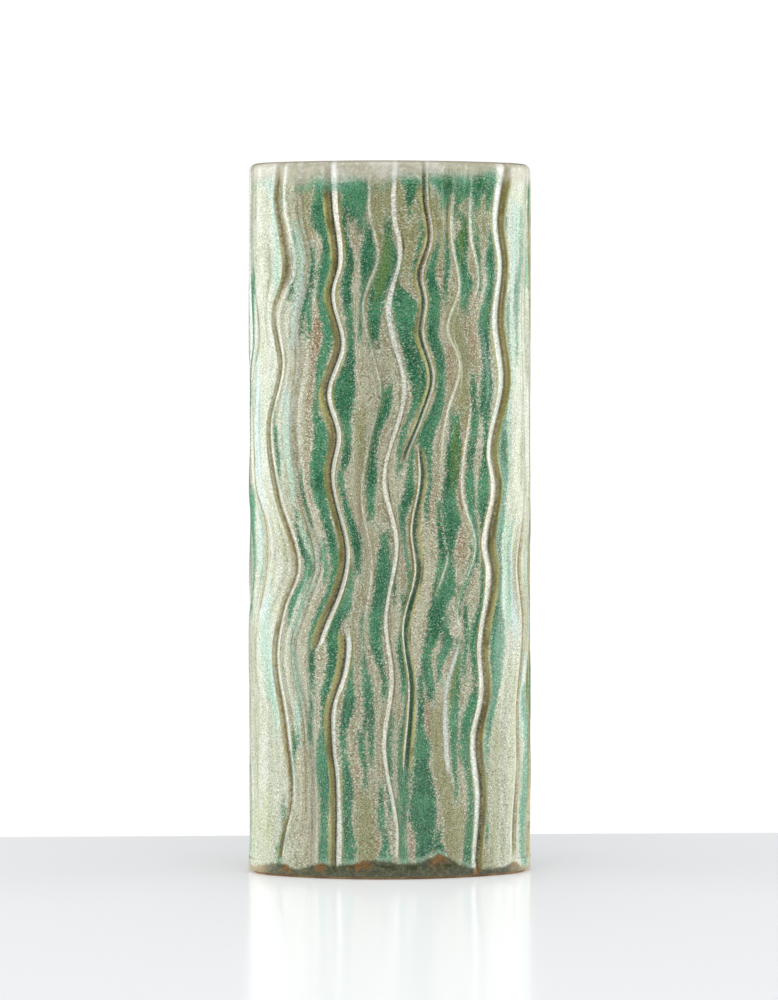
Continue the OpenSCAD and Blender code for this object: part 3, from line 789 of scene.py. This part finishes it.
def glaze(name):
    """The whole outside glaze; the point vectors tell it where it is on the vase."""
    n = Nodes(name)
    flow = n.vector("flow")
    long = n.vector("flow", (1, 1, 0.16))
    longer = n.vector("flow", (1, 1, 0.05))
    green_in, khaki_in, aqua_in = n.split("streaks")
    lip, pool, white_glaze_and_highlight = n.split("cut")
    brown_in, cream_and_side_sheen, rim_in = n.split("zones")
    foot_in, rust, high = n.split("ends")
    olive_in, side_sheen, verdant = n.split("more")

    grain = n.centred(flow, 1.95, 1.0, 0.5)
    pale_specks = n.centred(flow, 1.75, 1.5, 0.6)
    dark_specks = n.centred(flow, 1.45, 1.5, 0.6)
    fleck = n.centred(flow, 0.7, 2.0, 0.6)
    fray = n.centred(long, 0.55, 3.0, 0.62)
    drift = n.centred(longer, 0.17, 2.0, 0.5)
    cloud = n.centred(flow, 0.07, 3.0, 0.55)

    # oatmeal ground, mottled with brown, khaki, pale blue and grey green, and turning to cream towards
    # both ends, brightened there as painted sheen from the side lights
    oat = n.over((160, 153, 119), (198, 192, 164), n.add(fray, (drift, 0.6)), -0.16, 0.16)
    oat = n.over(oat, (140, 160, 124), n.add(fleck, (fray, 0.7)), 0.02, 0.24, 0.6)
    brown_value = n.add(brown_in, (fray, 5.0), (fleck, 3.0))
    oat = n.over(oat, (154, 118, 82), brown_value, -1.2, 1.2, 0.76)
    khaki_value = n.add(khaki_in, (fray, 6.0), (fleck, 3.0))
    oat = n.over(oat, (148, 148, 96), khaki_value, -1.4, 1.2, 0.8)
    # cream colour for both ends, paler and bluer for painted sheen from the side lights
    cream_and_sheen_color = n.over((192, 199, 168), (219, 224, 208), fray, -0.14, 0.14)
    cream_and_sheen_color = n.over(cream_and_sheen_color, (196, 204, 152), n.noise(longer, 0.5, 2.0), 0.52, 0.66, 0.7)
    oat = n.mix(n.mul(cream_and_side_sheen, 0.82), oat, cream_and_sheen_color)
    aqua_value = n.add(aqua_in, (fray, 4.5), (fleck, 3.0))
    aqua_color = n.over((148, 200, 172), (198, 222, 222), drift, -0.1, 0.1)
    oat = n.over(oat, aqua_color, aqua_value, -0.9, 1.2, 0.74)
    wash = n.add(green_in, (fray, 5.0), (fleck, 4.0))
    oat = n.over(oat, (136, 156, 122), wash, -1.7, 0.2, 0.5)
    speckled = n.math("MULTIPLY_ADD", cream_and_side_sheen, -0.45, 0.7)
    oat = n.over(oat, (116, 94, 58), dark_specks, 0.07, 0.13, speckled)
    oat = n.over(oat, (100, 136, 92), n.add(grain, (fleck, 0.4)), 0.1, 0.16, speckled)
    speck_share = n.math("MULTIPLY_ADD", n.edge(khaki_value, -1.4, 1.2), -0.4, 0.8)
    oat = n.over(oat, (228, 228, 212), pale_specks, 0.07, 0.13, speck_share)

    # green streaks with frosted, speckled borders
    value = n.add(green_in, (fleck, 3.4), (grain, 4.4), (fray, 2.4))
    near_rim = n.edge(rim_in, -9.0, -3.0)
    soft_mask = n.edge(n.add(green_in, (cloud, 4.0), (fleck, 2.0)), -1.2, 1.0)
    mask = n.blend(near_rim, n.edge(value, -0.42, -0.06), soft_mask)
    green = n.over((34, 100, 66), (74, 140, 100), n.add(cloud, (fray, 0.5)), -0.18, 0.18)
    # painted sheen: green paler towards both ends
    green = n.mix(n.mul(side_sheen, 0.45), green, (120, 186, 148))
    green = n.mix(n.mul(near_rim, 0.6), green, (46, 120, 66))
    green = n.over(green, (104, 134, 64), n.add(olive_in, (fray, 3.0)), -0.9, 0.9, 0.75)
    green = n.over(green, (96, 152, 122), n.noise(flow, 0.9, 1.0, 0.4), 0.6, 0.7, 0.5)
    crystal = n.mul(n.edge(pale_specks, 0.08, 0.14), n.edge(value, 3.4, 0.0))
    green = n.mix(n.mul(crystal, 0.85), green, (196, 214, 190))
    green = n.over(green, (36, 78, 44), dark_specks, 0.1, 0.18, 0.4)
    frost = n.mul(n.edge(value, -1.5, -0.4), n.edge(grain, -0.03, 0.12))
    oat = n.mix(n.mul(frost, 0.7), oat, (212, 218, 200))
    color = n.mix(mask, oat, green)

    # thin glaze on the lips of the cuts, thick glaze in them, and pale glaze with a painted highlight on
    # their lit flanks
    lip_value = n.add(lip, (fray, 0.9), (fleck, 0.8), (grain, 0.8))
    lip_color = n.over((134, 128, 58), (186, 180, 114), drift, -0.1, 0.1)
    lip_color = n.over(lip_color, (96, 86, 40), n.add(cloud, (fray, 0.5)), 0.0, 0.16, 0.7)
    color = n.over(color, lip_color, lip_value, 0.3, 0.8, 0.92)
    pool_value = n.add(pool, (fray, 1.0), (fleck, 0.9), (grain, 1.6))
    pool_tone = n.over((20, 60, 30), (82, 62, 22), n.add(drift, (fray, 0.6)), -0.08, 0.1)
    pool_tone = n.over(pool_tone, (128, 112, 64), pool_value, 1.0, 0.5)
    # pools paler towards both ends: painted sheen from the side lights
    pool_tone = n.mix(n.mul(cream_and_side_sheen, 0.55), pool_tone, (150, 126, 66))
    pool_green = n.over((26, 84, 54), (84, 128, 90), pool_value, 1.0, 0.4)
    pool_tone = n.mix(n.mul(verdant, 0.85), pool_tone, pool_green)
    pool_tone = n.over(pool_tone, (170, 164, 128), pale_specks, 0.06, 0.16, 0.5)
    color = n.over(color, pool_tone, pool_value, 0.2, 0.75, 0.95)
    # painted highlight: a near-white, bluish colour on the lit flanks of the cuts, over thin pale glaze
    white_highlight_value = n.add(white_glaze_and_highlight, (fray, 0.8), (fleck, 0.8))
    white_highlight_color = n.over((236, 232, 216), (220, 231, 222), drift, -0.1, 0.1)
    color = n.over(color, white_highlight_color, white_highlight_value, 0.3, 0.9, 0.85)

    # pale glaze over the lip of the vase, with teal where it meets the streaks
    rim_value = n.add(rim_in, (fleck, 3.0), (cloud, 6.0))
    teal = n.mul(n.edge(rim_value, -7.0, -2.0), n.edge(n.add(cloud, (drift, 0.8)), -0.12, 0.1))
    teal = n.mul(teal, n.math("MULTIPLY_ADD", cream_and_side_sheen, -0.7, 1.0))
    color = n.mix(n.mul(teal, 0.74), color, (104, 164, 132))
    rim_color = n.over((188, 184, 158), (215, 212, 196), n.add(n.mul(fleck, 0.5), cloud), -0.14, 0.14)
    rim_color = n.over(rim_color, (164, 164, 128), dark_specks, 0.06, 0.18, 0.22)
    rim_color = n.mix(n.mul(pool, 0.4), rim_color, (150, 136, 104))
    # painted highlight: the white share of the cuts paints the rim's lit flanks near white
    rim_color = n.mix(n.mul(white_glaze_and_highlight, 0.75), rim_color, (236, 236, 230))
    color = n.over(color, rim_color, rim_value, -3.4, 2.2)
    crest = n.edge(high, 0.996, 0.9992)
    color = n.mix(n.mul(crest, n.add(0.7, (fleck, 1.2))), color, (136, 116, 86))

    # dark foot glaze with rust, under a pale halo
    foot_value = n.add(foot_in, (fleck, 2.4), (fray, 2.4), (grain, 1.0))
    halo = n.mul(n.edge(foot_value, -2.4, -0.4), n.edge(green_in, -2.0, 0.5))
    color = n.mix(n.mul(halo, 0.45), color, (180, 204, 178))
    foot_color = n.over((66, 72, 46), (98, 100, 66), fleck, -0.14, 0.2)
    rust_value = n.add(rust, (fleck, 1.6), (grain, 1.0), (fray, 0.8))
    rust_near = n.mul(n.edge(rust_value, 0.3, 0.9), n.edge(foot_in, 4.6, 2.2))
    foot_color = n.mix(n.mul(rust_near, 0.85), foot_color, (130, 88, 24))
    # painted sheen: foot glaze pale towards both ends
    foot_color = n.mix(n.mul(side_sheen, 0.8), foot_color, (188, 172, 130))
    color = n.over(color, foot_color, foot_value, -0.6, 0.8)

    calm = n.edge(rim_in, 2.0, -3.0)
    tone = n.math("MULTIPLY_ADD", n.mul(grain, calm), 1.8, 1.0)
    tone = n.math("MULTIPLY_ADD", fleck, 0.35, tone)
    color = n.tone(color, tone)
    rough = n.math("MULTIPLY_ADD", mask, -0.06, 0.36)
    rough = n.math("MULTIPLY_ADD", pool, 0.3, rough)
    rough = n.math("ADD", rough, n.mul(grain, 0.3), clamp=True)
    n.bump(n.add(n.mul(grain, 0.8), (fleck, 0.5), (mask, -0.15)), 0.0001)
    return n.finish(color, rough, Coat_Weight=0.45, Coat_Roughness=0.12, Coat_IOR=1.5, IOR=1.5)


def clay(name, light, dark):
    n = Nodes(name)
    place = n.position()
    grain = n.centred(place, 1400, 3.0, 0.6)
    patch = n.centred(place, 120, 3.0, 0.6)
    color = n.over(dark, light, n.add(patch, (grain, 0.5)), -0.2, 0.2)
    color = n.over(color, (96, 70, 48), grain, 0.18, 0.26, 0.7)
    n.bump(n.add(grain, (patch, 0.5)), 0.00015)
    return n.finish(color, 0.82)


def liner(name):
    n = Nodes(name)
    place = n.position()
    long = n.position((1, 1, 0.25))
    grain = n.centred(place, 1500, 3.0, 0.6)
    patch = n.centred(long, 90, 3.0, 0.6)
    color = n.over((186, 196, 164), (214, 212, 190), patch, -0.15, 0.18)
    color = n.over(color, (140, 160, 124), grain, 0.1, 0.26, 0.5)
    n.bump(n.add(n.mul(grain, 0.4), patch), 0.0002)
    return n.finish(color, 0.25, Coat_Weight=0.4, Coat_Roughness=0.1, IOR=1.52)


streaked = glaze("streaked_glaze")
pale = glaze("pale_rim_glaze")
dark_foot = glaze("dark_foot_glaze")
bare_clay = clay("stoneware", (180, 150, 108), (142, 108, 72))
liner_coat = liner("liner_glaze")

# ------------------------ pieces
UNDER_COAT = BASE_INSET + COAT   # inset of the clay surface under the coats
LIP_RADIUS = (LIP_WALL - BASE_INSET) / 2
LIP_CENTRE = BASE_INSET + LIP_RADIUS
LIP_LEVEL = HEIGHT - LIP_RADIUS  # where the rounded lip starts
GAP = 0.02                       # keeps the clay just clear of the coats over it
LIP_CARVE = 0.7                  # share of the carving left at the lip
FOOT_CARVE = 0.45                # share of the carving left at the foot
ROLL_BULGE = 0.55                # how far the foot roll stands out
LINER = 0.4                      # the inner coat


def carve_up(z):
    """How much of the carving is left at height z: less at the foot and at the lip."""
    return np.interp(z, [BARE, FOOT_HIGH, RIM_LOW, LIP_LEVEL], [FOOT_CARVE, 1, 1, LIP_CARVE])


def carve_over(inset):
    """How much of the carving is left across the rounded lip."""
    return np.interp(inset, [BASE_INSET, LIP_WALL], [LIP_CARVE, 0])


def upright(z, inset, carve):
    """Rows at the heights z, all at one inset and with one share of the carving."""
    return z, np.full(len(z), inset), np.full(len(z), carve)


def lip_arc(radius, angles):
    """Rows over the rounded lip."""
    inset = LIP_CENTRE + radius * np.cos(angles)
    return LIP_LEVEL + radius * np.sin(angles), inset, carve_over(inset)


def joined(*runs):
    """Several runs of rows as one, without sharp edges between them."""
    return [np.concatenate(rows) for rows in zip(*runs)]


# streaked coat, from the foot roll to the rim glaze
coat = ring_piece("streaked_glaze_coat", [
    upright(np.linspace(FOOT_HIGH, RIM_LOW, 188), BASE_INSET, 1.0),
    upright(np.linspace(RIM_LOW, FOOT_HIGH, 42), UNDER_COAT, 1.0),
], streaked)
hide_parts("outer_glaze")

# pale glaze over the lip: up the outside, over a rounded lip and down the inside, then back under it
over = np.linspace(math.pi, 0, 17)
up_z = np.linspace(RIM_LOW, LIP_LEVEL, 5)[:-1]
rim = ring_piece("pale_rim_glaze_lip", [
    joined(
        (up_z, np.full(len(up_z), BASE_INSET), carve_up(up_z)),
        lip_arc(LIP_RADIUS, over),
        upright(up_z[::-1], LIP_WALL, 0.0),
    ),
    joined(
        upright([RIM_LOW], LIP_WALL - LINER, 0.0),
        lip_arc(LIP_RADIUS - COAT, over[::-1]),
        upright([RIM_LOW], UNDER_COAT, 1.0),
    ),
], pale)
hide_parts("rim_glaze")

# dark roll of run glaze just above the bare foot
roll = np.linspace(0, math.pi, 15)
roll_z = BARE + (FOOT_HIGH - BARE) * (1 - np.cos(roll)) / 2
roll_back = np.linspace(FOOT_HIGH, BARE, 5)
foot = ring_piece("dark_foot_glaze_roll", [
    (roll_z, BASE_INSET - ROLL_BULGE * np.sin(roll) ** 0.8, carve_up(roll_z)),
    (roll_back, np.full(len(roll_back), UNDER_COAT), carve_up(roll_back)),
], dark_foot)
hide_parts("foot_glaze_band")

# carved clay wall under the coats, with a small chamfer at its bare foot
body_z = np.concatenate([[0, 0.35, 0.9], np.linspace(BARE + 0.6, LIP_LEVEL - 0.2, 90)])
body_inset = UNDER_COAT + np.concatenate([[0.75, 0.25], np.full(len(body_z) - 2, GAP)])
body = ring_piece("carved_clay_body", [joined(
    (body_z, body_inset, carve_up(body_z)),
    lip_arc(LIP_RADIUS - COAT - GAP, over[1:-1]),
    upright(np.linspace(LIP_LEVEL - 0.2, 0, 14), LIP_WALL - LINER - GAP, 0.0),
)], bare_clay, glazed=False)
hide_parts("body_wall")

# CAD nodes whose shape is right keep it and get fired surfaces
for node, material in (("base_slab", bare_clay), ("corner_coil", bare_clay), ("liner_glaze", liner_coat)):
    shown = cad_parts[node]
    shown.data.materials.clear()
    shown.data.materials.append(material)

# ------------------------ floor, backdrop, light, camera
TABLE_BACK = 0.118
TABLE_FRONT = 0.8
TABLE_SIDE = 0.8


def sheet_mesh(name, corners, material):
    mesh = bpy.data.meshes.new(name)
    mesh.from_pydata(corners, [], [tuple(range(len(corners)))])
    mesh.materials.append(material)
    made = bpy.data.objects.new(name, mesh)
    bpy.context.scene.collection.objects.link(made)
    return made


def white_floor(name):
    n = Nodes(name)
    color = n.mix(n.noise(n.position(), 3.0, 2.0), (233, 234, 236), (236, 236, 238))
    glow = dict(Emission_Strength=0.2, Emission_Color=(1, 1, 1, 1))
    return n.finish(color, 0.16, Specular_IOR_Level=0.05, **glow)


sheet_mesh("floor", [
    (-TABLE_SIDE, -TABLE_FRONT, 0), (TABLE_SIDE, -TABLE_FRONT, 0),
    (TABLE_SIDE, TABLE_BACK, 0), (-TABLE_SIDE, TABLE_BACK, 0),
], white_floor("white_floor"))

world = bpy.data.worlds.new("studio")
world.use_nodes = True
world.node_tree.nodes["Background"].inputs[0].default_value = (1, 1, 1, 1)
world.node_tree.nodes["Background"].inputs[1].default_value = 0.55
world.cycles_visibility.glossy = False
bpy.context.scene.world = world

dome_white = bpy.data.materials.new("backdrop_white")
dome_white.use_nodes = True
dome_tree = dome_white.node_tree
dome_tree.nodes.clear()
dome_out = dome_tree.nodes.new("ShaderNodeOutputMaterial")
dome_glow = dome_tree.nodes.new("ShaderNodeEmission")
dome_glow.inputs[1].default_value = 1.02
dome_tree.links.new(dome_glow.outputs[0], dome_out.inputs[0])
bpy.ops.mesh.primitive_uv_sphere_add(segments=48, ring_count=24, radius=9)
dome = bpy.context.object
dome.name = "backdrop"
dome.data.materials.append(dome_white)
dome.visible_diffuse = False
dome.visible_glossy = False
dome.visible_transmission = False
dome.visible_shadow = False


def softbox(name, azimuth, elevation, distance, width, height, power):
    """A rectangular light that faces the middle of the vase."""
    data = bpy.data.lights.new(name, "AREA")
    data.shape = "RECTANGLE"
    data.size = width
    data.size_y = height
    data.energy = power
    data.color = (0.95, 0.98, 1.0)
    lamp = bpy.data.objects.new(name, data)
    a, e = math.radians(azimuth), math.radians(elevation)
    back = Vector((math.sin(a) * math.cos(e), -math.cos(a) * math.cos(e), math.sin(e)))
    lamp.location = Vector((0, 0, 0.14)) + back * distance
    lamp.rotation_mode = "QUATERNION"
    lamp.rotation_quaternion = back.to_track_quat("Z", "Y")
    bpy.context.scene.collection.objects.link(lamp)
    return lamp


softbox("softbox_left", -90, 8, 1.1, 1.0, 0.8, 8)
softbox("softbox_right", 90, 8, 1.1, 1.0, 0.8, 8)
softbox("softbox_top", 0, 70, 1.6, 1.4, 1.0, 8.8)
softbox("softbox_back", 180, 62, 1.8, 1.2, 1.2, 4)

CAMERA_DISTANCE = 1.53
CAMERA_TURN = math.radians(-2.7)
CAMERA_HEIGHT = 0.1942
camera_data = bpy.data.cameras.new("camera")
camera_data.lens = 138.8
camera_data.sensor_width = 36
camera_data.shift_x = -0.0008
camera_data.shift_y = -0.1194
camera_data.clip_end = 50
camera = bpy.data.objects.new("camera", camera_data)
camera.location = (
    CAMERA_DISTANCE * math.sin(CAMERA_TURN),
    -CAMERA_DISTANCE * math.cos(CAMERA_TURN),
    CAMERA_HEIGHT,
)
camera.rotation_euler = (math.pi / 2, 0, CAMERA_TURN)
bpy.context.scene.collection.objects.link(camera)
bpy.context.scene.camera = camera
bpy.context.scene.view_settings.view_transform = "Standard"
